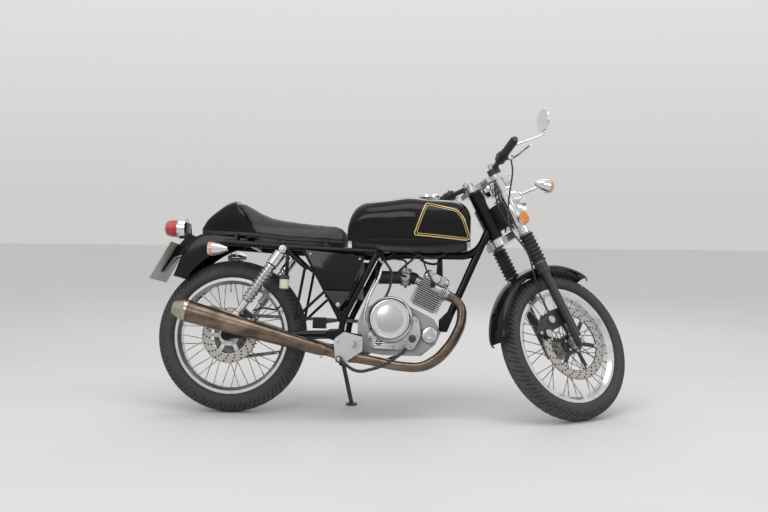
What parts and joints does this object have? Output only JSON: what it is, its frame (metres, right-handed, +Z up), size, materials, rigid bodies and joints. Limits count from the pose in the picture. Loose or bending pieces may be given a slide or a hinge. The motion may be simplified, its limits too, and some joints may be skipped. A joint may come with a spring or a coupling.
{
  "type": "cafe racer motorcycle",
  "caption": "Single-cylinder cafe racer motorcycle on its side stand, with spoked wheels, twin silencers, clip-on bars and a humped seat.",
  "frame": {"origin": "on the ground under the middle of the parked machine's bounding box", "axes": "+X towards the front wheel, +Y to the rider's left, +Z up; the machine leans left onto its side stand"},
  "size_m": [1.9832, 0.6711, 1.2565],
  "materials": {
    "black_paint": "gloss black",
    "black_plastic": "matt",
    "cast_alloy": "satin cast",
    "chrome": "polished",
    "exhaust_steel": "heat-browned",
    "plate": "blank plate",
    "polished_alloy": "polished",
    "red_lens": "clear red",
    "rubber": "matt black",
    "satin_black": "satin black",
    "steel": "brushed",
    "tyre": "matt black rubber",
    "vinyl": "matt vinyl"
  },
  "bodies": {
    "chassis": {"frame": "black_paint", "swingarm": "black_paint", "engine_case": "cast_alloy", "engine_covers": "polished_alloy", "cylinder": "cast_alloy", "cylinder_head": "cast_alloy", "intake": "rubber", "battery_box": "black_plastic", "exhaust_headers": "exhaust_steel", "silencers": "exhaust_steel", "fuel_tank": "black_paint", "filler_cap": "chrome", "seat": "vinyl", "seat_hump": "black_paint", "side_panels": "black_paint", "rear_mudguard": "black_paint", "tail_lamp": "red_lens", "number_plate": "plate", "rear_indicators": "chrome", "rear_shocks": "chrome", "footrests": "steel", "foot_pedals": "satin_black", "chain": "steel", "rear_brake": "satin_black"},
    "steering": {"yokes": "polished_alloy", "fork_stanchions": "chrome", "fork_sliders": "satin_black", "fork_gaiters": "rubber", "handlebars": "satin_black", "grips": "rubber", "controls": "satin_black", "mirror": "chrome", "headlamp": "chrome", "instruments": "chrome", "headlamp_brackets": "polished_alloy", "front_indicators": "chrome", "front_mudguard": "black_paint", "front_caliper": "satin_black"},
    "front_wheel": {"front_tyre": "tyre", "front_rim": "polished_alloy", "front_disc": "steel"},
    "rear_wheel": {"rear_tyre": "tyre", "rear_rim": "polished_alloy", "rear_disc": "steel", "rear_sprocket": "steel"},
    "side_stand": {"side_stand": "satin_black"}
  },
  "joints": [
    {"name": "steering", "type": "hinge", "parent": "chassis", "child": "steering", "pos_m": [0.40033, 0.01438, 0.8217], "axis": [-0.45, 0.1455, 0.8811], "range_deg": [-77, 0]},
    {"name": "front_wheel_spin", "type": "hinge", "parent": "steering", "child": "front_wheel", "pos_m": [0.72683, -0.03303, 0.28694], "axis": [-0.5565, 0.7259, -0.4041], "continuous": true},
    {"name": "rear_wheel_spin", "type": "hinge", "parent": "chassis", "child": "rear_wheel", "pos_m": [-0.65452, -0.07062, 0.31299], "axis": [-0.0007, 0.9866, -0.1633], "continuous": true},
    {"name": "side_stand_swing", "type": "hinge", "parent": "chassis", "child": "side_stand", "pos_m": [-0.20305, 0.0422, 0.19648], "axis": [0.0008, 0.9833, 0.182], "range_deg": [0, 95]}
  ]
}
